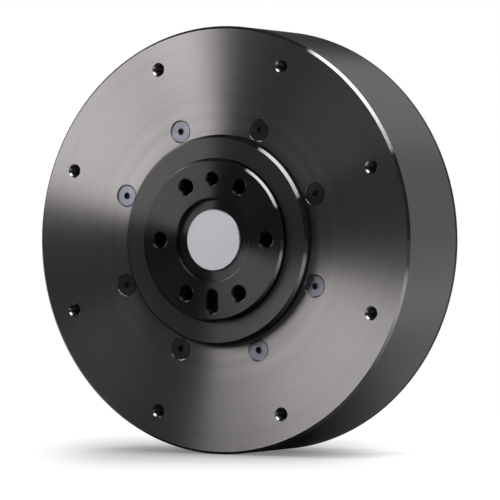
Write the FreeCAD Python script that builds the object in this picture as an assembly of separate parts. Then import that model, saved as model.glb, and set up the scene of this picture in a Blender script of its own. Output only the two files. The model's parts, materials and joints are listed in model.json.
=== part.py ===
"""Robot joint actuator: a flat brushless motor with a planetary gear stage nested inside its rotor.

Frame: the axis of rotation is Y and the output looks towards -Y. The origin is on the axis, in the
main front face that the robot's link is bolted to. +Z is up. All lengths are in millimetres, all
angles in degrees, and angles round the axis run from +X towards +Z.
"""
import FreeCAD, Part
import math
import os

Vector = FreeCAD.Vector
ORIGIN = Vector(0, 0, 0)
AXIS = Vector(0, 1, 0)

# ------------------------------------------------------------------ gear stage
module = 0.6
pressure_angle = math.radians(20.0)
sun_teeth = 10
planet_teeth = 35
ring_teeth = sun_teeth + 2 * planet_teeth
planet_count = 3
first_planet_angle = 90.0
profile_shift = 0.4          # sun +, planets and ring -, in modules
tip_height = 1.0             # in modules
root_depth = 1.25            # in modules
tooth_thinning = 0.05        # taken off the pitch thickness of every tooth, for backlash
gear_width = 8.0
ring_overhang = 0.4          # ring gear past the planets' rear faces

# ------------------------------------------------------------------ fits and small gaps
running_fit = 0.03           # radial, shaft in bearing
locating_fit = 0.03          # radial, spigot in bore
side_gap = 0.2               # axial, between parts that turn past each other
thread_chamfer = 0.35

# ------------------------------------------------------------------ front: output and its bearing
flange_proud = 3.2           # output flange above the main front face
ring_proud = 1.9             # bearing housing above the main front face
flange_chamfer = 0.5
ring_chamfer = 0.6
ring_relief = 0.2            # radial gap round the bearing housing at the front face
ring_relief_depth = 0.8
flange_shoulder = 1.0        # flange radius beyond the bearing's bore
lip_gap = 0.3                # radial, flange in the bearing housing's lip
lip_thickness = 2.3
race_width = 5.0
race_section = 4.5           # radial height of the output bearing
race_split = 0.6             # radial gap between the two races
roller_diameter = 2.4
roller_end_gap = 0.15
roller_count = 20
bearing_wall = 2.0           # bearing housing outside the outer race
retainer_width = 1.8
retainer_inset = 1.6         # retainer's bore inside the race's outside
retainer_slot = 3.0
retainer_slot_count = 4

output_pcd = 28.0
output_bolt_count = 6
output_thread = 3.4          # M4, inside diameter of the thread
output_thread_depth = 7.0
dowel_diameter = 3.0
dowel_depth = 4.0
dowel_chamfer = 0.25         # also round the slot
dowel_angle = 90.0
slot_length = 5.5
slot_depth = 2.4

recess_diameter = 18.9
recess_depth = 0.85
recess_chamfer = 0.3
cap_diameter = 14.1
cap_below_face = 0.55
cap_stem_diameter = 8.0
cap_stem_length = 5.0
cap_chamfer = 0.2

# ------------------------------------------------------------------ gearbox screws
screw_thread = 2.5           # M2.5, also in the carrier
screw_clearance = 2.7
screw_head = 4.7
screw_head_rim = 0.2
screw_socket = 1.5
screw_socket_depth = 1.0
screw_below_face = 0.2
sink_diameter = 5.3
seat_gap = 0.02              # between a conical head and its countersink
gearbox_screw_count = 8
gearbox_screw_angle = 22.5
gearbox_screw_bite = 6.0     # thread length inside the ring gear
sink_land = 0.4              # metal between countersink and bearing housing
ring_root_wall = 1.29        # metal between tooth root and screw
ring_outer_wall = 1.2        # metal outside the screw

# ------------------------------------------------------------------ carrier
carrier_front = 2.8          # thickness of the plate behind the output bearing
carrier_inset = 0.15         # carrier plate inside the inner race's outside
carrier_rear = 2.4           # thickness of the rear plate
carrier_rim = 6.0            # rear plate outside the planet pins' circle
pillar_diameter = 6.2
pillar_orbit = 15.2
pin_diameter = 5.0
bush_outside = 8.0
bush_proud = 0.2             # bush past the planet's faces, runs on the plates
carrier_screw_bite = 3.6
sun_window_gap = 0.6

# ------------------------------------------------------------------ rotor
journal_diameter = 3.0
pilot_outside = 6.0
pilot_width = 2.5
sun_shaft_diameter = 6.0
web_gap = 0.8
web_thickness = 1.8
web_hole_count = 6
web_hole_diameter = 8.0
web_hole_orbit = 20.5
rear_journal_diameter = 10.0
rear_bearing_outside = 15.0
rear_bearing_width = 3.0
hub_shoulder = 1.0
hub_shoulder_gap = 0.05
hub_past_bearing = 0.2
encoder_magnet_diameter = 6.0
encoder_magnet_length = 2.0
encoder_magnet_proud = 0.2

rotor_gap = 0.7              # between ring gear and rotor ring
back_iron = 2.2
magnet_thickness = 2.0
magnet_count = 28
magnet_cover = 0.86          # part of each pole pitch that is magnet
rotor_ring_overhang = 0.5

# ------------------------------------------------------------------ stator
air_gap = 0.4
stator_teeth = 24
shoe_thickness = 1.0
slot_opening = 2.0
tooth_length = 5.6
tooth_width = 4.4
yoke = 3.1
front_end_room = 3.0         # between front wall and stator stack
rear_end_room = 3.8          # between stator stack and rear plate
coil_overhang = 1.6
coil_side = 1.85
coil_gap = 0.15              # slot liner
coil_foot = 0.3              # between coil and shoe
phase_stud_diameter = 1.6
phase_stud_hole = 3.0
phase_stud_inset = 0.8       # stud's axis outside the coils' inner side
phase_stud_count = 3
phase_stud_angle = 90.0
phase_stud_step = 15.0

# ------------------------------------------------------------------ housing
wall = 4.5
front_wall = 5.0
bearing_flange = 3.0
body_chamfer = 0.6
rim_chamfer = 0.3
rear_rim = 1.2
rear_gap = 0.8               # rotor web to rear plate
spigot_length = 1.2
spigot_thickness = 1.87
rear_plate = 2.5
bearing_boss_wall = 2.5
bearing_lip = 0.8
bearing_lip_inset = 1.3
mount_inset = 6.35           # front bolt circle inside the body's edge
mount_count = 8
mount_angle = 22.5
mount_thread = 2.5           # M3 tapping drill
mount_thread_depth = 4.0

housing_screw_count = 8
housing_screw_angle = 0.0
housing_screw_thread = 2.0   # M2, countersunk in the rear rim
housing_screw_clearance = 2.2
housing_screw_head = 3.8
housing_screw_head_rim = 0.15
housing_screw_below_face = 0.05
housing_screw_sink = 4.0
housing_screw_socket = 1.3
housing_screw_socket_depth = 0.6
housing_screw_length = 6.0
housing_screw_inset = 2.5

# ------------------------------------------------------------------ electronics bay
bay_inset = 7.0              # bay's outside inside the body's edge
bay_wall = 3.5
bay_chamfer = 0.6
cover_thickness = 1.6
cover_screw_count = 6
cover_screw_angle = 0.0
cover_screw_thread = 2.0
cover_screw_head = 3.8
cover_screw_length = 6.0
cover_screw_inset = 2.1
cover_screw_socket = 1.3
cover_screw_socket_depth = 0.8
board_gap = 1.0              # bearing boss to board
board_thickness = 1.6
board_edge_gap = 0.3
component_room = 4.5         # board to cover
post_diameter = 5.0
post_count = 4
post_angle = 45.0
post_inset = 4.5
board_screw_thread = 2.0
board_screw_head = 3.6
board_screw_head_height = 1.2
board_screw_length = 3.8

socket_recess = 3.0          # socket mouths inside the bay's outside
power_size = (11.5, 5.2, 11.0)
power_pin_diameter = 2.0
power_pin_pitch = 5.0
signal_size = (8.0, 4.0, 6.5)
signal_pin_width = 0.5
signal_pin_count = 4
signal_pin_pitch = 1.25
signal_count = 2
socket_wall = 0.9
socket_gap = 0.8
socket_clearance = 0.25
socket_floor = 2.0


# ---------------------------------------------------------------- radii, worked out from the axis outwards
sun_pitch_radius = module * sun_teeth / 2
planet_pitch_radius = module * planet_teeth / 2
ring_pitch_radius = module * ring_teeth / 2
planet_orbit = sun_pitch_radius + planet_pitch_radius
pillar_angle = first_planet_angle + 180.0 / planet_count
sun_tip_radius = sun_pitch_radius + module * (tip_height + profile_shift)
sun_root_radius = sun_pitch_radius - module * (root_depth - profile_shift)
planet_tip_radius = planet_pitch_radius + module * (tip_height - profile_shift)
planet_root_radius = planet_pitch_radius - module * (root_depth + profile_shift)
ring_root_radius = ring_pitch_radius + module * (root_depth - profile_shift)
ring_tip_radius = ring_pitch_radius - module * (tip_height + profile_shift)

gearbox_screw_orbit = ring_root_radius + ring_root_wall + screw_thread / 2
ring_gear_radius = gearbox_screw_orbit + screw_thread / 2 + ring_outer_wall
spigot_radius = gearbox_screw_orbit - sink_diameter / 2 - sink_land
race_outside = spigot_radius - bearing_wall
race_bore = race_outside - race_section
race_middle = (race_outside + race_bore) / 2
inner_race_outside = race_middle - race_split / 2
outer_race_inside = race_middle + race_split / 2
groove_reach = (roller_diameter / 2 + running_fit) * math.sqrt(2)
flange_radius = race_bore + flange_shoulder
lip_radius = flange_radius + lip_gap
retainer_inside = race_outside - retainer_inset
carrier_radius = inner_race_outside - carrier_inset
carrier_plate_radius = planet_orbit + carrier_rim

rotor_inside = ring_gear_radius + rotor_gap
magnet_inside = rotor_inside + back_iron
magnet_outside = magnet_inside + magnet_thickness
stator_bore = magnet_outside + air_gap
tooth_foot = stator_bore + shoe_thickness
yoke_inside = tooth_foot + tooth_length
stator_radius = yoke_inside + yoke
body_radius = stator_radius + wall
mount_orbit = body_radius - mount_inset
housing_screw_orbit = body_radius - housing_screw_inset

coil_inner_half = tooth_width / 2 + coil_gap
coil_outer_half = coil_inner_half + coil_side
coil_inside = tooth_foot + coil_foot
coil_outside = math.sqrt(yoke_inside ** 2 - coil_outer_half ** 2) - coil_gap
phase_stud_orbit = coil_inside + phase_stud_inset
bay_radius = body_radius - bay_inset
bay_inside = bay_radius - bay_wall
cover_screw_orbit = bay_radius - cover_screw_inset
board_radius = bay_inside - board_edge_gap
post_orbit = board_radius - post_inset
bearing_boss_radius = rear_bearing_outside / 2 + bearing_boss_wall
sink_rim = screw_below_face + screw_head_rim + (screw_head - sink_diameter) / 2 + seat_gap
housing_sink_rim = (housing_screw_below_face + housing_screw_head_rim
                    + (housing_screw_head - housing_screw_sink) / 2 + seat_gap)

# ----------------------------------------------------------- depths, worked out from the front to the rear
flange_face = -flange_proud
ring_face = -ring_proud
race_front = ring_face + lip_thickness
race_rear = race_front + race_width
carrier_face = race_rear + carrier_front
bush_front = carrier_face + side_gap
gear_front = bush_front + bush_proud
gear_rear = gear_front + gear_width
bush_rear = gear_rear + bush_proud
carrier_plate_front = bush_rear + side_gap
carrier_plate_rear = carrier_plate_front + carrier_rear
ring_gear_front = front_wall + bearing_flange
ring_gear_rear = gear_rear + ring_overhang
web_front = carrier_plate_rear + web_gap
web_rear = web_front + web_thickness
plate_front = web_rear + rear_gap
rim_rear = plate_front + rear_rim
housing_screw_tip = rim_rear - housing_screw_length
plate_rear = plate_front + rear_plate
rear_bearing_rear = plate_front + rear_bearing_width
boss_rear = rear_bearing_rear + bearing_lip
hub_rear = rear_bearing_rear + hub_past_bearing
encoder_magnet_rear = hub_rear + encoder_magnet_proud
encoder_magnet_front = encoder_magnet_rear - encoder_magnet_length
stack_front = front_wall + front_end_room
stack_rear = plate_front - rear_end_room
coil_front = stack_front - coil_overhang
coil_rear = stack_rear + coil_overhang
board_front = boss_rear + board_gap
board_rear = board_front + board_thickness
cover_front = board_rear + component_room
cover_rear = cover_front + cover_thickness
socket_mouth = -(bay_radius - socket_recess)

sockets_width = power_size[0] + signal_count * (signal_size[0] + socket_gap)
power_centre = (power_size[0] - sockets_width) / 2
first_signal_centre = (sockets_width - signal_size[0]) / 2
signal_step = signal_size[0] + socket_gap
power_rear = cover_front - socket_clearance
power_front = power_rear - power_size[1]


# ------------------------------------------------------------------ helpers
def turned(points):
    """Solid turned about the Y axis from corner points given as (radius, y)."""
    corners = [Vector(radius, y, 0) for radius, y in points]
    outline = Part.makePolygon(corners + corners[:1])
    return Part.Face(outline).revolve(ORIGIN, AXIS, 360)


def ring(inside, outside, front, rear):
    """Plain ring round the axis."""
    return turned([(inside, front), (outside, front), (outside, rear), (inside, rear)])


def rod(radius, front, rear, orbit=0.0):
    """Cylinder along Y, its axis at x = orbit."""
    return Part.makeCylinder(radius, rear - front, Vector(orbit, front, 0), AXIS)


def block(size, centre_x, front, low_z):
    """Box with its width centred on centre_x, its front face and its lower face given."""
    width, depth, height = size
    return Part.makeBox(width, depth, height, Vector(centre_x - width / 2, front, low_z))


def moved(shape, orbit):
    """Copy of a shape, moved out along +X."""
    copy = shape.copy()
    copy.translate(Vector(orbit, 0, 0))
    return copy


def at_angle(shape, angle):
    """Copy of a shape, turned about the axis from +X towards +Z."""
    copy = shape.copy()
    copy.rotate(ORIGIN, AXIS, -angle)
    return copy


def around(shape, count, first=0.0, step=None):
    """Copies of a shape on a circle, evenly spaced unless a step is given."""
    step = 360.0 / count if step is None else step
    return [at_angle(shape, first + index * step) for index in range(count)]


def hexagon(across_flats, front, rear):
    """Six-sided prism along Y, for sockets in screw heads."""
    corner = across_flats / math.sqrt(3)
    turns = [math.radians(60 * index) for index in range(7)]
    corners = [Vector(corner * math.cos(turn), front, corner * math.sin(turn)) for turn in turns]
    return Part.Face(Part.makePolygon(corners)).extrude(Vector(0, rear - front, 0))


def cone_headed(face, end, shank, head, rim=0.0):
    """Shank with a 90 degree conical head at `face`, as a screw or as the cutter of its hole."""
    way = 1 if end > face else -1
    drop = rim + (head - shank) / 2
    points = [(0, face), (head / 2, face), (shank / 2, face + way * drop), (shank / 2, end), (0, end)]
    if rim:
        points.insert(2, (head / 2, face + way * rim))
    return turned(points)


def socketed(screw, face, depth, across_flats):
    """Screw with a hexagon socket sunk from `face` by a signed depth."""
    return screw.cut(hexagon(across_flats, face, face + depth))


def cap_screw(seat, length, shank, head, head_height):
    """Screw with a cylindrical head on a seat, its head to the rear and its shank to the front."""
    return turned([(0, seat - length), (shank / 2, seat - length), (shank / 2, seat), (head / 2, seat),
                   (head / 2, seat + head_height), (0, seat + head_height)])


# ------------------------------------------------------------------ involute gears
def involute(angle):
    return math.tan(angle) - angle


def half_tooth(radius, teeth, shift, thinning):
    """Half of a tooth's angle at a radius, as seen from the gear's axis, in radians."""
    pitch_radius = module * teeth / 2
    thickness = module * (math.pi / 2 + 2 * shift * math.tan(pressure_angle)) - thinning
    base_radius = pitch_radius * math.cos(pressure_angle)
    angle = math.acos(min(1.0, base_radius / radius))
    return thickness / (2 * pitch_radius) + involute(pressure_angle) - involute(angle)


def gear_outline(teeth, root, tip, shift, thinning, phase=0.0):
    """Closed outline of an external gear in the plane y = 0, with a tooth centred on the phase angle.

    Each flank is an arc through three points of the involute. Below the base circle it is radial.
    """
    base = module * teeth / 2 * math.cos(pressure_angle)
    start = max(base, root)
    flank_radii = [start, (start + tip) / 2, tip]
    pitch_angle = 2 * math.pi / teeth

    def point(radius, angle):
        return Vector(radius * math.cos(angle), 0, radius * math.sin(angle))

    edges = []
    for index in range(teeth):
        centre = math.radians(phase) + index * pitch_angle
        halves = [half_tooth(radius, teeth, shift, thinning) for radius in flank_radii]
        rising = [point(radius, centre - half) for radius, half in zip(flank_radii, halves)]
        falling = [point(radius, centre + half) for radius, half in zip(flank_radii, halves)]
        rising_root = point(root, centre - halves[0])
        falling_root = point(root, centre + halves[0])
        next_root = point(root, centre + pitch_angle - halves[0])
        if base > root:
            edges.append(Part.LineSegment(rising_root, rising[0]).toShape())
        edges.append(Part.Arc(*rising).toShape())
        edges.append(Part.Arc(rising[2], point(tip, centre), falling[2]).toShape())
        edges.append(Part.Arc(*reversed(falling)).toShape())
        if base > root:
            edges.append(Part.LineSegment(falling[0], falling_root).toShape())
        middle_root = point(root, centre + pitch_angle / 2)
        edges.append(Part.Arc(falling_root, middle_root, next_root).toShape())
    return Part.Wire(edges)


def extruded_gear(outline, front, rear):
    gear = Part.Face(outline).extrude(Vector(0, rear - front, 0))
    gear.translate(Vector(0, front, 0))
    return gear


def make_sun_gear():
    outline = gear_outline(sun_teeth, sun_root_radius, sun_tip_radius, profile_shift, tooth_thinning,
                           first_planet_angle)
    teeth = extruded_gear(outline, gear_front, bush_rear)
    journal = rod(journal_diameter / 2, carrier_face - pilot_width, gear_front)
    shaft = rod(sun_shaft_diameter / 2, bush_rear, encoder_magnet_front)
    return teeth.fuse([journal, shaft]).removeSplitter()


def make_planet(index):
    """Planet in mesh, made at +X with a gap towards the sun, then turned as the sun's teeth need."""
    gap_to_sun = 180.0 + 180.0 / planet_teeth
    sun_tooth = (first_planet_angle - planet_angle(index)) % (360.0 / sun_teeth)
    turn = -sun_tooth * sun_teeth / planet_teeth
    outline = gear_outline(planet_teeth, planet_root_radius, planet_tip_radius, -profile_shift,
                           tooth_thinning, gap_to_sun + turn)
    gear = extruded_gear(outline, gear_front, gear_rear)
    bored = gear.cut(rod(bush_outside / 2, gear_front, gear_rear))
    return at_angle(moved(bored, planet_orbit), planet_angle(index))


def make_planet_bearing(index):
    bush = ring(pin_diameter / 2 + running_fit, bush_outside / 2, bush_front, bush_rear)
    return at_angle(moved(bush, planet_orbit), planet_angle(index))


def planet_angle(index):
    return first_planet_angle + index * 360.0 / planet_count


def make_ring_gear():
    """Internal gear. A planet with an odd number of teeth turns a tooth outwards, an even one a gap."""
    phase = first_planet_angle + (0 if planet_teeth % 2 else 180.0 / ring_teeth)
    gaps = gear_outline(ring_teeth, ring_tip_radius, ring_root_radius, -profile_shift,
                        -tooth_thinning, phase)
    blank = rod(ring_gear_radius, ring_gear_front, ring_gear_rear)
    threads = screw_circle(rod(screw_thread / 2, ring_gear_front, ring_gear_rear))
    return blank.cut([extruded_gear(gaps, ring_gear_front, ring_gear_rear)] + threads)


# ------------------------------------------------------------------ front housing and gearbox
def screw_circle(shape):
    """Copies of a shape on the circle of the gearbox screws."""
    return around(moved(shape, gearbox_screw_orbit), gearbox_screw_count, gearbox_screw_angle)


def make_front_housing():
    bore = spigot_radius + locating_fit
    relief = spigot_radius + ring_relief
    shell = turned([
        (relief, 0), (body_radius - body_chamfer, 0), (body_radius, body_chamfer),
        (body_radius, plate_front), (stator_radius, plate_front), (stator_radius, front_wall),
        (bore, front_wall), (bore, ring_relief_depth), (relief, ring_relief_depth)])
    mount = cone_headed(0, mount_thread_depth, mount_thread, mount_thread + 2 * thread_chamfer)
    sink = cone_headed(0, front_wall, screw_clearance, sink_diameter, sink_rim)
    thread = rod(housing_screw_thread / 2, housing_screw_tip, plate_front, housing_screw_orbit)
    cutters = around(moved(mount, mount_orbit), mount_count, mount_angle) + screw_circle(sink)
    cutters += around(thread, housing_screw_count, housing_screw_angle)
    return shell.cut(cutters)


def make_bearing_housing():
    blank = turned([
        (lip_radius, ring_face), (spigot_radius - ring_chamfer, ring_face),
        (spigot_radius, ring_face + ring_chamfer), (spigot_radius, front_wall),
        (ring_gear_radius, front_wall), (ring_gear_radius, ring_gear_front),
        (race_outside, ring_gear_front), (race_outside, race_front), (lip_radius, race_front)])
    return blank.cut(screw_circle(rod(screw_clearance / 2, front_wall, ring_gear_front)))


def make_gearbox_screws():
    tip = ring_gear_front + gearbox_screw_bite
    screw = cone_headed(screw_below_face, tip, screw_thread, screw_head, screw_head_rim)
    return screw_circle(socketed(screw, screw_below_face, screw_socket_depth, screw_socket))


def make_inner_race():
    groove = groove_reach - race_split / 2
    middle = (race_front + race_rear) / 2
    return turned([
        (race_bore, race_front), (inner_race_outside, race_front),
        (inner_race_outside, middle - groove), (race_middle - groove_reach, middle),
        (inner_race_outside, middle + groove), (inner_race_outside, race_rear),
        (race_bore, race_rear)])


def make_outer_race():
    groove = groove_reach - race_split / 2
    middle = (race_front + race_rear) / 2
    return turned([
        (race_outside, race_front), (race_outside, race_rear), (outer_race_inside, race_rear),
        (outer_race_inside, middle + groove), (race_middle + groove_reach, middle),
        (outer_race_inside, middle - groove), (outer_race_inside, race_front)])


def make_rollers():
    """Crossed rollers: every second one leans the other way by 45 degrees."""
    length = roller_diameter - roller_end_gap
    middle = Vector(race_middle, (race_front + race_rear) / 2, 0)
    rollers = []
    for index in range(roller_count):
        lean = Vector(1, 1 if index % 2 else -1, 0).normalize()
        roller = Part.makeCylinder(roller_diameter / 2, length, middle - lean * (length / 2), lean)
        rollers.append(at_angle(roller, index * 360.0 / roller_count))
    return rollers


def make_race_retainer():
    """Threaded ring behind the outer race, with four slots for a pin spanner."""
    rear = race_rear + retainer_width
    depth = race_outside - retainer_inside
    slot = Part.makeBox(depth, retainer_width / 2, retainer_slot,
                        Vector(retainer_inside - depth / 2, rear - retainer_width / 2, -retainer_slot / 2))
    return ring(retainer_inside, race_outside, race_rear, rear).cut(around(slot, retainer_slot_count))


# ------------------------------------------------------------------ output flange and carrier
def make_output_flange():
    floor = flange_face + recess_depth
    blank = turned([
        (cap_stem_diameter / 2, floor), (recess_diameter / 2, floor),
        (recess_diameter / 2, flange_face + recess_chamfer),
        (recess_diameter / 2 + recess_chamfer, flange_face),
        (flange_radius - flange_chamfer, flange_face), (flange_radius, flange_face + flange_chamfer),
        (flange_radius, race_front), (race_bore, race_front), (race_bore, race_rear),
        (cap_stem_diameter / 2, race_rear)])
    orbit = output_pcd / 2
    bolt = cone_headed(flange_face, flange_face + output_thread_depth, output_thread,
                       output_thread + 2 * thread_chamfer)
    dowel = dowel_cutter(dowel_depth, orbit)
    screw = rod(screw_thread / 2, race_rear - carrier_screw_bite, race_rear, pillar_orbit)
    cutters = around(moved(bolt, orbit), output_bolt_count)
    cutters += [at_angle(dowel, dowel_angle), at_angle(radial_slot(orbit), dowel_angle + 180.0)]
    cutters += around(screw, planet_count, pillar_angle)
    return blank.cut(cutters)


def dowel_cutter(depth, orbit):
    """Cutter of a blind dowel hole with a chamfered mouth."""
    mouth = dowel_diameter + 2 * dowel_chamfer
    return moved(cone_headed(flange_face, flange_face + depth, dowel_diameter, mouth), orbit)


def radial_slot(orbit):
    """Cutter of the slot that lets the second dowel float along its radius."""
    reach = (slot_length - dowel_diameter) / 2
    half = dowel_diameter / 2
    rear = flange_face + slot_depth
    sides = [(-half - dowel_chamfer, flange_face), (-half, flange_face + dowel_chamfer), (-half, rear),
             (half, rear), (half, flange_face + dowel_chamfer), (half + dowel_chamfer, flange_face)]
    corners = [Vector(orbit - reach, y, z) for z, y in sides]
    middle = Part.Face(Part.makePolygon(corners + corners[:1])).extrude(Vector(2 * reach, 0, 0))
    ends = [dowel_cutter(slot_depth, orbit + way * reach) for way in (-1, 1)]
    return middle.fuse(ends).removeSplitter()


def make_centre_cap():
    top = flange_face + cap_below_face
    floor = flange_face + recess_depth
    radius = cap_diameter / 2
    return turned([
        (0, top), (radius - cap_chamfer, top), (radius, top + cap_chamfer), (radius, floor),
        (cap_stem_diameter / 2, floor), (cap_stem_diameter / 2, floor + cap_stem_length),
        (0, floor + cap_stem_length)])


def make_planet_carrier():
    """Plate behind the output bearing with the pillars that hold the rear plate."""
    plate = ring(pilot_outside / 2, carrier_radius, race_rear, carrier_face)
    pillars = around(rod(pillar_diameter / 2, race_rear, carrier_plate_front, pillar_orbit),
                     planet_count, pillar_angle)
    pins = around(rod(pin_diameter / 2, race_rear, carrier_face, planet_orbit),
                  planet_count, first_planet_angle)
    screws = around(rod(screw_clearance / 2, race_rear, carrier_plate_front, pillar_orbit),
                    planet_count, pillar_angle)
    return plate.fuse(pillars).removeSplitter().cut(pins + screws)


def make_carrier_plate():
    window = sun_tip_radius + sun_window_gap
    plate = ring(window, carrier_plate_radius, carrier_plate_front, carrier_plate_rear)
    pins = around(rod(pin_diameter / 2, carrier_plate_front, carrier_plate_rear, planet_orbit),
                  planet_count, first_planet_angle)
    sink = cone_headed(carrier_plate_rear, carrier_plate_front, screw_clearance, sink_diameter, sink_rim)
    sinks = around(moved(sink, pillar_orbit), planet_count, pillar_angle)
    return plate.cut(pins + sinks)


def make_carrier_screws():
    face = carrier_plate_rear - screw_below_face
    screw = cone_headed(face, race_rear - carrier_screw_bite, screw_thread, screw_head, screw_head_rim)
    screw = socketed(screw, face, -screw_socket_depth, screw_socket)
    return around(moved(screw, pillar_orbit), planet_count, pillar_angle)


def make_planet_pins():
    pin = rod(pin_diameter / 2, race_rear, carrier_plate_rear, planet_orbit)
    return around(pin, planet_count, first_planet_angle)


def make_pilot_bearing():
    """Small bearing in the carrier that holds the sun shaft's front end."""
    return ring(journal_diameter / 2 + running_fit, pilot_outside / 2,
                carrier_face - pilot_width, carrier_face)


# ------------------------------------------------------------------ rotor
def make_rotor_hub():
    """Web that carries the rotor ring, with the journal of the rear bearing."""
    journal = rear_journal_diameter / 2
    hub = turned([
        (sun_shaft_diameter / 2, web_front), (magnet_inside, web_front), (magnet_inside, web_rear),
        (journal + hub_shoulder, web_rear), (journal + hub_shoulder, plate_front - hub_shoulder_gap),
        (journal, plate_front - hub_shoulder_gap), (journal, hub_rear),
        (encoder_magnet_diameter / 2, hub_rear), (encoder_magnet_diameter / 2, encoder_magnet_front),
        (sun_shaft_diameter / 2, encoder_magnet_front)])
    hole = rod(web_hole_diameter / 2, web_front, web_rear, web_hole_orbit)
    return hub.cut(around(hole, web_hole_count))


def make_rotor_ring():
    return ring(rotor_inside, magnet_inside, stack_front - rotor_ring_overhang, web_front)


def make_magnets():
    """Arc magnets on the outside of the rotor ring."""
    span = 360.0 / magnet_count * magnet_cover
    profile = Part.makePolygon([
        Vector(magnet_inside, stack_front, 0), Vector(magnet_outside, stack_front, 0),
        Vector(magnet_outside, stack_rear, 0), Vector(magnet_inside, stack_rear, 0),
        Vector(magnet_inside, stack_front, 0)])
    magnet = Part.Face(profile).revolve(ORIGIN, AXIS, span)
    return around(magnet, magnet_count)


def make_encoder_magnet():
    return rod(encoder_magnet_diameter / 2, encoder_magnet_front, encoder_magnet_rear)


# ------------------------------------------------------------------ stator
def make_stator_core():
    """Lamination stack: a yoke, straight teeth and the shoes that face the magnets."""
    slots = around(slot_cutter(), stator_teeth)
    return ring(stator_bore, stator_radius, stack_front, stack_rear).cut(slots)


def slot_cutter():
    """Space between the tooth at 0 degrees and the next one, with its opening to the bore."""
    pitch = 2 * math.pi / stator_teeth
    half = tooth_width / 2
    shoe_half = math.pi * stator_bore / stator_teeth - slot_opening / 2

    def beside_tooth(radius, offset, side):
        """Point at a radius, `offset` from the middle line of the tooth on one side of the slot."""
        angle = math.asin(offset / radius)
        turn = angle if side == 0 else pitch - angle
        return Vector(radius * math.cos(turn), stack_front, radius * math.sin(turn))

    inside = stator_bore - shoe_thickness
    near = [beside_tooth(inside, shoe_half, 0), beside_tooth(tooth_foot, shoe_half, 0),
            beside_tooth(tooth_foot, half, 0), beside_tooth(yoke_inside, half, 0)]
    far = [beside_tooth(yoke_inside, half, 1), beside_tooth(tooth_foot, half, 1),
           beside_tooth(tooth_foot, shoe_half, 1), beside_tooth(inside, shoe_half, 1)]
    middle = Vector(yoke_inside * math.cos(pitch / 2), stack_front, yoke_inside * math.sin(pitch / 2))
    bottom = Part.Arc(near[-1], middle, far[0]).toShape()
    sides = Part.makePolygon(far + near)
    outline = Part.Wire([bottom] + sides.Edges)
    return Part.Face(outline).extrude(Vector(0, stack_rear - stack_front, 0))


def make_stator_coils():
    """One coil round each tooth, a closed loop past both ends of the stack."""
    length = coil_outside - coil_inside
    outer = Part.makeBox(length, coil_rear - coil_front, 2 * coil_outer_half,
                         Vector(coil_inside, coil_front, -coil_outer_half))
    hole = Part.makeBox(length, stack_rear - stack_front, 2 * coil_inner_half,
                        Vector(coil_inside, stack_front, -coil_inner_half))
    corners = [edge for edge in outer.Edges if is_radial(edge)]
    rounded = outer.makeChamfer(coil_overhang / 2, corners)
    return around(rounded.cut(hole), stator_teeth)


def is_radial(edge):
    start, end = edge.Vertexes[0].Point, edge.Vertexes[-1].Point
    return abs(end.x - start.x) > abs(end.y - start.y) + abs(end.z - start.z)


def make_phase_studs():
    """Three straight copper studs that carry the phases from the coils to the board."""
    stud = rod(phase_stud_diameter / 2, coil_rear, board_front, phase_stud_orbit)
    return around(stud, phase_stud_count, phase_stud_angle, phase_stud_step)


# ------------------------------------------------------------------ rear housing and electronics bay
def make_rear_housing():
    seat = rear_bearing_outside / 2
    spigot = stator_radius - locating_fit
    shell = turned([
        (seat, plate_front), (spigot - spigot_thickness, plate_front),
        (spigot - spigot_thickness, plate_front - spigot_length), (spigot, plate_front - spigot_length),
        (spigot, plate_front), (body_radius - rim_chamfer, plate_front),
        (body_radius, plate_front + rim_chamfer), (body_radius, rim_rear - rim_chamfer),
        (body_radius - rim_chamfer, rim_rear), (bay_radius, rim_rear), (bay_radius, cover_front),
        (bay_inside, cover_front), (bay_inside, plate_rear), (bearing_boss_radius, plate_rear),
        (bearing_boss_radius, boss_rear), (seat - bearing_lip_inset, boss_rear),
        (seat - bearing_lip_inset, rear_bearing_rear), (seat, rear_bearing_rear)])
    posts = around(rod(post_diameter / 2, plate_rear, board_front, post_orbit), post_count, post_angle)
    body = shell.fuse(posts)
    sink = cone_headed(rim_rear, plate_front, housing_screw_clearance, housing_screw_sink, housing_sink_rim)
    cutters = around(moved(sink, housing_screw_orbit), housing_screw_count, housing_screw_angle)
    cutters += around(rod(phase_stud_hole / 2, plate_front, plate_rear, phase_stud_orbit),
                      phase_stud_count, phase_stud_angle, phase_stud_step)
    cutters += around(rod(cover_screw_thread / 2, cover_rear - cover_screw_length, cover_front,
                          cover_screw_orbit), cover_screw_count, cover_screw_angle)
    cutters += around(rod(board_screw_thread / 2, board_rear - board_screw_length, board_front,
                          post_orbit), post_count, post_angle)
    cutters.append(socket_window())
    return body.cut(cutters)


def socket_window():
    """Cutter of the window in the bay's wall for the power and signal sockets."""
    width = sockets_width + 2 * socket_clearance
    front = power_front - socket_clearance
    wall_at_side = math.sqrt(bay_inside ** 2 - (width / 2) ** 2) - socket_clearance
    return Part.makeBox(width, cover_front - front, bay_radius - wall_at_side,
                        Vector(-width / 2, front, -bay_radius))


def make_housing_screws():
    face = rim_rear - housing_screw_below_face
    screw = cone_headed(face, housing_screw_tip, housing_screw_thread, housing_screw_head,
                        housing_screw_head_rim)
    screw = socketed(screw, face, -housing_screw_socket_depth, housing_screw_socket)
    return around(moved(screw, housing_screw_orbit), housing_screw_count, housing_screw_angle)


def make_rear_bearing():
    return ring(rear_journal_diameter / 2 + running_fit, rear_bearing_outside / 2,
                plate_front, rear_bearing_rear)


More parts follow.
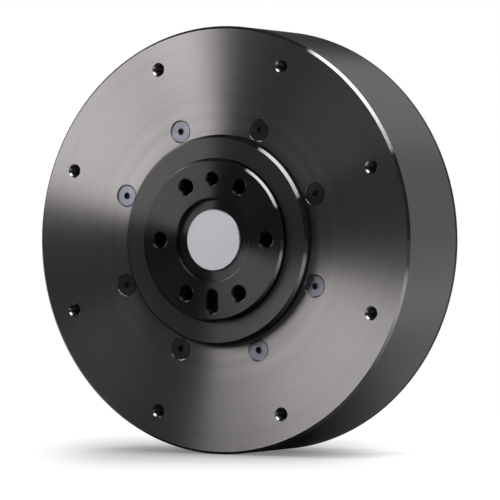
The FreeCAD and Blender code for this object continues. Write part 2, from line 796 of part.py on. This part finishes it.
def make_driver_board():
    notch = Part.makeBox(power_size[0] + 2 * socket_clearance, board_thickness, board_radius,
                         Vector(power_centre - power_size[0] / 2 - socket_clearance, board_front,
                                socket_mouth + power_size[2] + socket_clearance - board_radius))
    screws = around(rod(board_screw_thread / 2, board_front, board_rear, post_orbit),
                    post_count, post_angle)
    return rod(board_radius, board_front, board_rear).cut(screws + [notch])


def make_board_screws():
    screw = cap_screw(board_rear, board_screw_length, board_screw_thread, board_screw_head,
                      board_screw_head_height)
    return around(moved(screw, post_orbit), post_count, post_angle)


def make_rear_cover():
    cover = turned([
        (0, cover_front), (bay_radius, cover_front), (bay_radius, cover_rear - bay_chamfer),
        (bay_radius - bay_chamfer, cover_rear), (0, cover_rear)])
    hole = cone_headed(cover_rear, cover_front, cover_screw_thread, cover_screw_head)
    return cover.cut(around(moved(hole, cover_screw_orbit), cover_screw_count, cover_screw_angle))


def make_cover_screws():
    screw = cone_headed(cover_rear, cover_rear - cover_screw_length, cover_screw_thread, cover_screw_head)
    screw = socketed(screw, cover_rear, -cover_screw_socket_depth, cover_screw_socket)
    return around(moved(screw, cover_screw_orbit), cover_screw_count, cover_screw_angle)


def make_socket(size, centre_x, front):
    """Connector shell with a mouth that looks down, out of the bay."""
    width, depth, height = size
    shell = block(size, centre_x, front, socket_mouth)
    mouth = (width - 2 * socket_wall, depth - 2 * socket_wall, height - socket_floor)
    return shell.cut(block(mouth, centre_x, front + socket_wall, socket_mouth))


def make_power_pins():
    """Two round pins that stand on the floor of the power socket."""
    length = power_size[2] - socket_floor - socket_wall
    height = power_front + power_size[1] / 2
    ends = [power_centre + way * power_pin_pitch / 2 for way in (-1, 1)]
    return [Part.makeCylinder(power_pin_diameter / 2, length,
                              Vector(x, height, socket_mouth + socket_wall)) for x in ends]


def signal_centres():
    return [first_signal_centre - index * signal_step for index in range(signal_count)]


def make_signal_pins():
    """A row of square pins in each signal socket."""
    length = signal_size[2] - socket_floor - socket_wall
    size = (signal_pin_width, signal_pin_width, length)
    front = board_rear + (signal_size[1] - signal_pin_width) / 2
    row = [(index - (signal_pin_count - 1) / 2) * signal_pin_pitch for index in range(signal_pin_count)]
    return [block(size, centre + offset, front, socket_mouth + socket_wall)
            for centre in signal_centres() for offset in row]


# width, thickness, height, centre x, low z
rear_chips = {
    "controller": (7.0, 0.9, 7.0, 0.0, 8.0),
    "gate driver": (6.0, 0.9, 6.0, 0.0, -4.0),
    "regulator": (4.0, 1.2, 4.0, 14.0, -6.0),
    "inductor": (6.0, 3.0, 6.0, 14.0, 2.0),
    "first capacitor": (6.5, 3.6, 8.0, -14.0, -18.0),
    "second capacitor": (6.5, 3.6, 8.0, -22.0, -14.0),
    "transceiver": (5.0, 1.4, 4.0, 8.0, -24.0),
}
encoder_chip = (4.0, 0.7, 4.0)
switch_size = (5.0, 1.0, 6.0)
switch_count = 6
switch_orbit = 24.0
switch_angle = 40.0
switch_step = 20.0


def make_board_components():
    """Chips on the board's rear face, the power switches near the phase studs, the encoder in front."""
    chips = [block((width, thickness, height), x, board_rear, z)
             for width, thickness, height, x, z in rear_chips.values()]
    switch = Part.makeBox(switch_size[2], switch_size[1], switch_size[0],
                          Vector(switch_orbit, board_rear, -switch_size[0] / 2))
    encoder = block(encoder_chip, 0, board_front - encoder_chip[1], -encoder_chip[2] / 2)
    return chips + around(switch, switch_count, switch_angle, switch_step) + [encoder]


# ------------------------------------------------------------------ write the parts
def save(name, shape):
    """Write one part, or one group of like parts, to its own file."""
    shape = Part.makeCompound(shape) if isinstance(shape, list) else shape
    shape.exportStep("parts/" + name + ".step")


def main():
    os.makedirs("parts", exist_ok=True)
    save("front_housing", make_front_housing())
    save("bearing_housing", make_bearing_housing())
    save("gearbox_screws", make_gearbox_screws())
    save("outer_race", make_outer_race())
    save("race_retainer", make_race_retainer())
    save("ring_gear", make_ring_gear())
    save("stator_core", make_stator_core())
    save("stator_coils", make_stator_coils())
    save("phase_studs", make_phase_studs())
    save("rear_housing", make_rear_housing())
    save("housing_screws", make_housing_screws())
    save("rear_bearing", make_rear_bearing())
    save("driver_board", make_driver_board())
    save("board_screws", make_board_screws())
    save("board_components", make_board_components())
    save("power_socket", make_socket(power_size, power_centre, power_front))
    save("power_pins", make_power_pins())
    save("signal_sockets", [make_socket(signal_size, x, board_rear) for x in signal_centres()])
    save("signal_pins", make_signal_pins())
    save("rear_cover", make_rear_cover())
    save("cover_screws", make_cover_screws())
    save("output_flange", make_output_flange())
    save("centre_cap", make_centre_cap())
    save("inner_race", make_inner_race())
    save("rollers", make_rollers())
    save("planet_carrier", make_planet_carrier())
    save("carrier_plate", make_carrier_plate())
    save("carrier_screws", make_carrier_screws())
    save("planet_pins", make_planet_pins())
    save("pilot_bearing", make_pilot_bearing())
    for index in range(planet_count):
        save("planet_gear_%d" % (index + 1), make_planet(index))
        save("planet_bearing_%d" % (index + 1), make_planet_bearing(index))
    save("sun_gear", make_sun_gear())
    save("rotor_hub", make_rotor_hub())
    save("rotor_ring", make_rotor_ring())
    save("magnets", make_magnets())
    save("encoder_magnet", make_encoder_magnet())


main()
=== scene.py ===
"""Looks of the robot joint actuator: finishes, camera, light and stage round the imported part."""
import json
import math

import bpy
from mathutils import Matrix, Vector

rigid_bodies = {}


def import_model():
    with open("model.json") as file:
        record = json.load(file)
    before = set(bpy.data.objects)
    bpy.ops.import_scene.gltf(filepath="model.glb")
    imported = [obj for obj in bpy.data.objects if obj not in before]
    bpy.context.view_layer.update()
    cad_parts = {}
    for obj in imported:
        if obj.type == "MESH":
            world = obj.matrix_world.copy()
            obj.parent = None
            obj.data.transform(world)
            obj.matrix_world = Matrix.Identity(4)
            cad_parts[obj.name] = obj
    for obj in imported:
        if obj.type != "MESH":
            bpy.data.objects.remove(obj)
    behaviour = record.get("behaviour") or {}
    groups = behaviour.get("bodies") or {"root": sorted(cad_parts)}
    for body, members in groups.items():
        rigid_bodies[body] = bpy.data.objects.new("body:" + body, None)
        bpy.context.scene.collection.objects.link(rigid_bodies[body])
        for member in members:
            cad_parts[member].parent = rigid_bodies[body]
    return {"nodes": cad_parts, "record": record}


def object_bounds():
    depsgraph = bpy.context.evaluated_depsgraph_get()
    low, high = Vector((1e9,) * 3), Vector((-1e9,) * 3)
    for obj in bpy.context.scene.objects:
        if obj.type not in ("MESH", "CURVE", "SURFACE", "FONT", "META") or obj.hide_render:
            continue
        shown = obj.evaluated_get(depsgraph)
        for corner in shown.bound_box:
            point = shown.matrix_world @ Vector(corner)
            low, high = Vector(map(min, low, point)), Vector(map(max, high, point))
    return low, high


for spare in list(bpy.data.objects):
    bpy.data.objects.remove(spare)
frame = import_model()
cad_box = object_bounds()
scene = bpy.context.scene


# ------------------------------------------------------------------ node helpers
class Nodes:
    """Short way to write a node tree."""

    def __init__(self, tree):
        self.tree = tree

    def add(self, kind, **settings):
        node = self.tree.nodes.new(kind)
        for key, value in settings.items():
            setattr(node, key, value)
        return node

    def put(self, socket, value):
        """Link a socket, or set its value."""
        if isinstance(value, bpy.types.NodeSocket):
            self.tree.links.new(value, socket)
        else:
            socket.default_value = value

    def split(self, vector):
        """The three parts of a vector, by name."""
        node = self.add("ShaderNodeSeparateXYZ")
        self.put(node.inputs[0], vector)
        return node.outputs

    def math(self, operation, first, second=0.0, clamp=False):
        node = self.add("ShaderNodeMath", operation=operation, use_clamp=clamp)
        self.put(node.inputs[0], first)
        self.put(node.inputs[1], second)
        return node.outputs[0]

    def vector(self, operation, first, second=(0.0, 0.0, 0.0)):
        node = self.add("ShaderNodeVectorMath", operation=operation)
        self.put(node.inputs[0], first)
        if operation not in ("NORMALIZE", "LENGTH"):
            self.put(node.inputs[1], second)
        return node.outputs["Value" if operation in ("LENGTH", "DOT_PRODUCT") else "Vector"]

    def noise(self, place, scale, detail=2.0, roughness=0.5, dimensions="3D"):
        node = self.add("ShaderNodeTexNoise", noise_dimensions=dimensions)
        self.put(node.inputs["W" if dimensions == "1D" else "Vector"], place)
        node.inputs["Scale"].default_value = scale
        node.inputs["Detail"].default_value = detail
        node.inputs["Roughness"].default_value = roughness
        return node.outputs["Fac"]

    def ramp(self, value, low, high, start=0.0, end=1.0):
        """From low to high while the value goes from start to end, and level outside them."""
        node = self.add("ShaderNodeMapRange")
        for key, given in (("Value", value), ("To Min", low), ("To Max", high), ("From Min", start),
                           ("From Max", end)):
            self.put(node.inputs[key], given)
        return node.outputs["Result"]

    def mix(self, factor, first, second, kind="RGBA"):
        node = self.add("ShaderNodeMix", data_type=kind)
        for key, given in (("Factor", factor), ("A", first), ("B", second)):
            self.put(node.inputs[key], given)
        return node.outputs["Result"]

    def glow(self, strength=1.0):
        node = self.add("ShaderNodeEmission")
        self.put(node.inputs["Strength"], strength)
        return node.outputs[0]

    def join(self, kind, *sources):
        """Mix or sum of shaders, ShaderNodeMixShader or ShaderNodeAddShader."""
        node = self.add(kind)
        for socket, source in zip(node.inputs, sources):
            self.put(socket, source)
        return node.outputs[0]


class Finish(Nodes):
    """A material round the principled shader."""

    def __init__(self, name):
        self.material = bpy.data.materials.new(name)
        self.material.use_nodes = True
        super().__init__(self.material.node_tree)
        self.shader = self.tree.nodes["Principled BSDF"]

    def set(self, **values):
        for key, value in values.items():
            self.put(self.shader.inputs[key.replace("_", " ")], value)

    def bump(self, height, strength):
        node = self.add("ShaderNodeBump")
        node.inputs["Strength"].default_value = strength
        node.inputs["Distance"].default_value = relief
        self.put(node.inputs["Height"], height)
        self.set(Normal=node.outputs["Normal"])


def grey(level):
    return (level, level, level, 1.0)


def rgba(red, green, blue):
    return (red, green, blue, 1.0)


def shade(colour, factor):
    """A colour made darker or lighter."""
    return tuple(part * factor for part in colour[:3]) + (1.0,)


# ------------------------------------------------------------------ finishes
relief = 0.00002                # height of grooves and grain, in metres
noise_middle = (0.3, 0.7)       # where most values of a noise lie
groove_variation = 0.1          # share by which colour and roughness vary from groove to groove
fine_share, broad_share = 0.65, 0.35
broad_groove = 9.0              # width of the broader grooves, in fine ones
turned_grain = 900.0            # noise scale of the grain over the grooves
grain_variation = 0.015         # roughness that this grain adds or takes away
wall_ends = (0.1, 0.3)          # flatness over which a side wall's finish ends
bevel_starts = (0.3, 0.5)       # flatness over which a bevel's finish sets in
bevel_ends = (0.88, 0.96)       # and over which it ends again
bevel_blend = 0.0005            # radius over which it sets in
satin_variation = 0.05          # roughness that a satin surface's grain adds or takes away
cloud_size = 25.0               # size of a satin surface's clouds, in grains
cloud_shade = 0.9               # how dark they get
moulded_grain, moulded_depth = 1800.0, 0.08


def turned_metal(name, colour, roughness=0.31, anisotropy=1.0, pitch=0.00022, depth=0.05,
                 metallic=1.0, wall=None, wall_roughness=0.4, bevel=None, bevel_from=0.0,
                 bevel_roughness=0.13):
    """Metal turned on a lathe about the Y axis: grooves round it, and light drawn out across them.

    The grooves follow the distance from the axis on flat faces, and the depth along it on side
    walls. Side walls may have a colour of their own. Bevels further from the axis than bevel_from
    may have their own colour too, where the finish is thin and the metal shows through.
    """
    made = Finish(name)
    coordinates = made.add("ShaderNodeTexCoord")
    place = coordinates.outputs["Object"]
    parts = made.split(place)
    flat = made.add("ShaderNodeCombineXYZ")
    made.put(flat.inputs["X"], parts["X"])
    made.put(flat.inputs["Z"], parts["Z"])
    radius = made.vector("LENGTH", flat.outputs[0])

    outward = made.vector("NORMALIZE", flat.outputs[0])
    to_world = made.add("ShaderNodeVectorTransform", vector_type="VECTOR", convert_from="OBJECT",
                        convert_to="WORLD")
    made.put(to_world.inputs[0], made.vector("CROSS_PRODUCT", (0.0, 1.0, 0.0), outward))
    normal = made.add("ShaderNodeNewGeometry").outputs["Normal"]
    across_grooves = made.vector("CROSS_PRODUCT", normal, to_world.outputs[0])
    made.set(Tangent=made.vector("NORMALIZE", across_grooves))

    track = made.math("ADD", radius, parts["Y"])
    fine = made.noise(made.math("DIVIDE", track, pitch), 1.0, 3.0, 0.6, "1D")
    broad = made.noise(made.math("DIVIDE", track, pitch * broad_groove), 1.0, 2.0, 0.5, "1D")
    tone = made.math("ADD", made.math("MULTIPLY", fine, fine_share),
                     made.math("MULTIPLY", broad, broad_share))
    less, more = 1.0 - groove_variation, 1.0 + groove_variation
    base = made.mix(made.ramp(tone, 0.0, 1.0, *noise_middle), shade(colour, less),
                    shade(colour, more))
    spread = made.ramp(tone, roughness * less, roughness * more, *noise_middle)
    grain = made.ramp(made.noise(place, turned_grain), -grain_variation, grain_variation)
    spread = made.math("ADD", spread, grain, clamp=True)

    facing = made.split(coordinates.outputs["Normal"])
    flatness = made.math("ABSOLUTE", facing["Y"])        # 1 on flat faces, 0 on side walls
    if wall:
        side = made.ramp(flatness, 1.0, 0.0, *wall_ends)
        base = made.mix(side, base, wall)
        spread = made.ramp(side, spread, wall_roughness)
    if bevel:
        slanted = made.math("MULTIPLY", made.ramp(flatness, 0.0, 1.0, *bevel_starts),
                            made.ramp(flatness, 1.0, 0.0, *bevel_ends))
        outer = made.ramp(radius, 0.0, 1.0, bevel_from, bevel_from + bevel_blend)
        worn = made.math("MULTIPLY", slanted, outer)
        base = made.mix(worn, base, bevel)
        spread = made.ramp(worn, spread, bevel_roughness)
        metallic = made.ramp(worn, metallic, 1.0)
    made.set(Base_Color=base, Metallic=metallic, Anisotropic=anisotropy, Roughness=spread,
             Specular_Tint=grey(0.35))
    made.bump(fine, depth)
    return made.material


def satin_metal(name, colour, roughness, scale=2500.0, depth=0.05, metallic=1.0):
    """Blasted or ground metal with an even fine grain, and broad clouds a little darker."""
    made = Finish(name)
    place = made.add("ShaderNodeTexCoord").outputs["Object"]
    grain = made.noise(place, scale, 3.0, 0.6)
    cloud = made.noise(place, scale / cloud_size)
    spread = made.ramp(grain, roughness - satin_variation, roughness + satin_variation,
                       *noise_middle)
    made.set(Base_Color=made.mix(cloud, shade(colour, cloud_shade), colour), Metallic=metallic,
             Roughness=spread)
    made.bump(grain, depth)
    return made.material


def moulded(name, colour, roughness):
    """Moulded or lacquered surface with a fine texture."""
    return satin_metal(name, colour, roughness, moulded_grain, moulded_depth, metallic=0.0)


# finish of each material slot: values of turned_metal, then colour and roughness of the others
turned = {
    "housing_black": dict(colour=rgba(0.2, 0.188, 0.189), metallic=0.96,
                          wall=rgba(0.19, 0.19, 0.196),
                          bevel=rgba(0.34, 0.335, 0.335), bevel_from=0.036),
    "ring_black": dict(colour=rgba(0.041, 0.039, 0.039), metallic=0.7,
                       bevel=grey(0.2), bevel_from=0.0225),
    "flange_black": dict(colour=rgba(0.033, 0.0315, 0.0315), metallic=0.9,
                         bevel=grey(0.2), bevel_from=0.0172),
    "rear_black": dict(colour=rgba(0.19, 0.19, 0.196), roughness=0.33, pitch=0.0003, depth=0.03,
                       wall=rgba(0.09, 0.09, 0.092),
                       bevel=grey(0.05), bevel_from=0.045, bevel_roughness=0.33),
    "cover_black": dict(colour=rgba(0.1, 0.1, 0.102), roughness=0.5, anisotropy=0.8,
                        pitch=0.0003, depth=0.03),
    "front_screw_steel": dict(colour=rgba(0.14, 0.143, 0.165), depth=0.02),
}
satin = {
    "cap_steel": (rgba(0.46, 0.458, 0.488), 0.45),
    "rear_screw_steel": (rgba(0.12, 0.125, 0.14), 0.3),
    "bearing_steel": (grey(0.5), 0.25),
    "retainer_steel": (grey(0.35), 0.35),
    "gear_steel": (grey(0.45), 0.3),
    "carrier_steel": (grey(0.5), 0.4),
    "pin_steel": (grey(0.55), 0.2),
    "bush_bronze": (rgba(0.55, 0.36, 0.18), 0.35),
    "lamination_steel": (grey(0.35), 0.45),
    "copper_winding": (rgba(0.55, 0.22, 0.08), 0.4),
    "copper_stud": (rgba(0.72, 0.38, 0.22), 0.3),
    "contact_gold": (rgba(0.8, 0.6, 0.25), 0.25),
    "hub_aluminium": (grey(0.6), 0.4),
    "rotor_steel": (grey(0.35), 0.4),
    "magnet_nickel": (grey(0.6), 0.2),
}
plastic = {
    "board_lacquer": (rgba(0.02, 0.09, 0.05), 0.35),
    "chip_black": (grey(0.03), 0.5),
    "power_plastic": (rgba(0.75, 0.5, 0.05), 0.4),
    "signal_plastic": (rgba(0.75, 0.72, 0.62), 0.45),
}


def dress_nodes():
    """Give every CAD node the finish of its material slot."""
    finishes = {slot: turned_metal(slot, **values) for slot, values in turned.items()}
    finishes.update({slot: satin_metal(slot, *values) for slot, values in satin.items()})
    finishes.update({slot: moulded(slot, *values) for slot, values in plastic.items()})
    for entry in frame["record"]["subparts"]:
        materials = frame["nodes"][entry["node"]].data.materials
        materials.clear()
        materials.append(finishes[entry["material_slot"]])


dress_nodes()

# ------------------------------------------------------------------ camera
view_angle = math.radians(30.1763)      # from straight in front of the face, towards +X
camera_distance = 0.76964
camera_side = 0.0070685                 # to the right of the axis
camera_drop = 0.0022345                 # below the axis
lens, sensor_width = 242.354, 36.0      # in millimetres
right = Vector((math.cos(view_angle), math.sin(view_angle), 0))
ahead = Vector((-math.sin(view_angle), math.cos(view_angle), 0))


def place_camera():
    camera = bpy.data.objects.new("camera", bpy.data.cameras.new("camera"))
    scene.collection.objects.link(camera)
    camera.location = camera_side * right - camera_distance * ahead
    camera.location.z -= camera_drop
    camera.rotation_euler = (math.radians(90), 0, view_angle)
    camera.data.lens = lens
    camera.data.sensor_width = sensor_width
    camera.data.clip_start, camera.data.clip_end = 0.01, 20.0
    scene.camera = camera


place_camera()

# ------------------------------------------------------------------ stage: white floor
floor_reach = 4.0
white_from_to = (0.1, 0.24)             # distances over which the seen floor turns plain white
contact_reach = 0.013                   # painted contact shade where the body meets the floor, from ambient occlusion in the floor's glow
contact_level = 0.45                    # openness at which it is black
shadow_depth = 0.6                      # painted soft shadow round the foot, an oval along the view, cast by no lamp
shadow_left, shadow_behind = 0.002, 0.014
shadow_half_width, shadow_half_length = 0.033, 0.05
mirrored_levels = (0.12, 0.95)          # glow of the floor seen only in reflections: dark in front of the object, pale behind
mirrored_behind = (-0.01, 0.045)        # depths between which it changes
painted_glow_beside_level = 0.8                      # painted bright patch to the right of the object, a glow seen only in reflections
beside_starts, beside_ends = (0.04, 0.1), (0.16, 0.3)
painted_shade_under_level = 0.05                      # painted shade under the object, seen only in reflections
painted_shade_under_ends = (0.02, 0.055)


def painted_oval_shadow(made, place):
    """How much the painted oval shadow takes away, from shadow_depth at its middle to 0."""
    across = made.math("ADD", made.vector("DOT_PRODUCT", place, right), shadow_left)
    across = made.math("ABSOLUTE", made.math("DIVIDE", across, shadow_half_width))
    along = made.math("SUBTRACT", made.vector("DOT_PRODUCT", place, ahead), shadow_behind)
    along = made.math("DIVIDE", along, shadow_half_length)
    fade = made.math("ADD", made.math("POWER", across, 4.0), made.math("MULTIPLY", along, along))
    bell = made.math("POWER", math.e, made.math("MULTIPLY", fade, -1.0))
    return made.math("MULTIPLY", bell, shadow_depth)


def seen_floor(made, place):
    """What the camera sees: glowing paper with painted shade, a contact shade from ambient
    occlusion and a painted oval shadow, plain white further off.
    """
    # painted contact shade: ambient occlusion sets how bright the floor glows near the body
    contact = made.add("ShaderNodeAmbientOcclusion", samples=24)
    contact.inputs["Distance"].default_value = contact_reach
    # the floor's glow is dimmed by the painted contact shade and the painted oval shadow
    level = made.math("MULTIPLY", made.ramp(contact.outputs["AO"], contact_level, 1.0),
                      made.math("SUBTRACT", 1.0, painted_oval_shadow(made, place)))
    paper = made.add("ShaderNodeBsdfDiffuse")
    paper.inputs["Color"].default_value = grey(0.05)
    near = made.join("ShaderNodeAddShader", paper.outputs[0], made.glow(level))
    away = made.ramp(made.vector("LENGTH", place), 0.0, 1.0, *white_from_to)
    return made.join("ShaderNodeMixShader", away, near, made.glow())


def mirrored_floor(made, place):
    """What polished metal sees: a glowing floor, pale behind the object, with a painted bright
    patch to its right and painted shade under it.
    """
    parts = made.split(place)
    behind = made.ramp(parts["Y"], *mirrored_levels, *mirrored_behind)
    # painted bright patch to the right of the object, seen only in reflections
    beside = made.math("MULTIPLY", made.ramp(parts["X"], 0.0, 1.0, *beside_starts),
                       made.ramp(parts["X"], 1.0, 0.0, *beside_ends))
    pale = made.math("MAXIMUM", behind, made.math("MULTIPLY", beside, painted_glow_beside_level))
    # painted shade under the object, seen only in reflections
    under = made.ramp(made.vector("LENGTH", place), painted_shade_under_level, 1.0, *painted_shade_under_ends)
    return made.glow(made.math("MULTIPLY", pale, under))


def paper_material():
    """Pale paper for matt surfaces, with a look of its own for the camera and one for polish."""
    made = Finish("stage_paper")
    made.set(Base_Color=grey(0.8), Roughness=0.9)
    place = made.add("ShaderNodeTexCoord").outputs["Object"]
    path = made.add("ShaderNodeLightPath").outputs
    look = made.join("ShaderNodeMixShader", path["Is Glossy Ray"], made.shader.outputs[0],
                     mirrored_floor(made, place))
    look = made.join("ShaderNodeMixShader", path["Is Camera Ray"], look, seen_floor(made, place))
    made.put(made.tree.nodes["Material Output"].inputs["Surface"], look)
    return made.material


def lay_floor():
    mesh = bpy.data.meshes.new("stage_floor")
    edge = floor_reach
    corners = [(-edge, -edge, 0), (edge, -edge, 0), (edge, edge, 0), (-edge, edge, 0)]
    mesh.from_pydata(corners, [], [(0, 1, 2, 3)])
    mesh.materials.append(paper_material())
    floor = bpy.data.objects.new("stage_floor", mesh)
    floor.location.z = cad_box[0].z
    scene.collection.objects.link(floor)


lay_floor()

# ------------------------------------------------------------------ light
ambient = 0.3                # from all round, on matt surfaces
front_shine = 0.04           # what polished surfaces see of the dark side of the studio
rear_shine = 0.95            # and of the white backdrop behind the object
backdrop_y, backdrop_x = (0.0, 0.4), (-0.4, 0.2)        # directions over which it sets in


def light_world():
    """White all round for the camera. Reflections see it white behind the object, dark in front."""
    world = bpy.data.worlds.new("studio")
    world.use_nodes = True
    made = Nodes(world.node_tree)
    direction = made.split(made.add("ShaderNodeTexCoord").outputs["Generated"])
    backdrop = made.math("MULTIPLY", made.ramp(direction["Y"], 0.0, 1.0, *backdrop_y),
                         made.ramp(direction["X"], 0.0, 1.0, *backdrop_x))
    shine = made.math("ADD", made.math("MULTIPLY", backdrop, rear_shine), front_shine)
    path = made.add("ShaderNodeLightPath").outputs
    level = made.mix(path["Is Glossy Ray"], ambient, shine, "FLOAT")
    level = made.mix(path["Is Transmission Ray"], level, 1.0, "FLOAT")
    level = made.mix(path["Is Camera Ray"], level, 1.0, "FLOAT")
    sky = made.tree.nodes["Background"]
    sky.inputs["Color"].default_value = grey(1.0)
    made.put(sky.inputs["Strength"], level)
    scene.world = world


def softbox(name, azimuth, elevation, distance, width, height, strength):
    """Rectangular lamp that faces the object. Strength is its brightness, 1 for white paper.

    Azimuth is 0 straight in front of the object's face, and positive towards +X.
    """
    azimuth, elevation = math.radians(azimuth), math.radians(elevation)
    outward = math.cos(elevation)
    away = Vector((math.sin(azimuth) * outward, -math.cos(azimuth) * outward, math.sin(elevation)))
    data = bpy.data.lights.new(name, "AREA")
    data.shape = "RECTANGLE"
    data.size, data.size_y = width, height
    data.energy = strength * math.pi * width * height
    lamp = bpy.data.objects.new(name, data)
    lamp.visible_camera = False
    scene.collection.objects.link(lamp)
    turn = (-away).to_track_quat("-Z", "Y").to_matrix().to_4x4()
    lamp.matrix_world = Matrix.Translation(away * distance) @ turn


light_world()
softbox("key", azimuth=-67, elevation=22.5, distance=2.9, width=2.0, height=1.8, strength=14.0)
softbox("key_near", azimuth=-37, elevation=24, distance=0.43, width=0.055, height=0.1,
        strength=13.0)
softbox("edge_light", azimuth=47, elevation=57, distance=2.0, width=0.6, height=1.85,
        strength=4.0)
scene.view_settings.view_transform = "Standard"
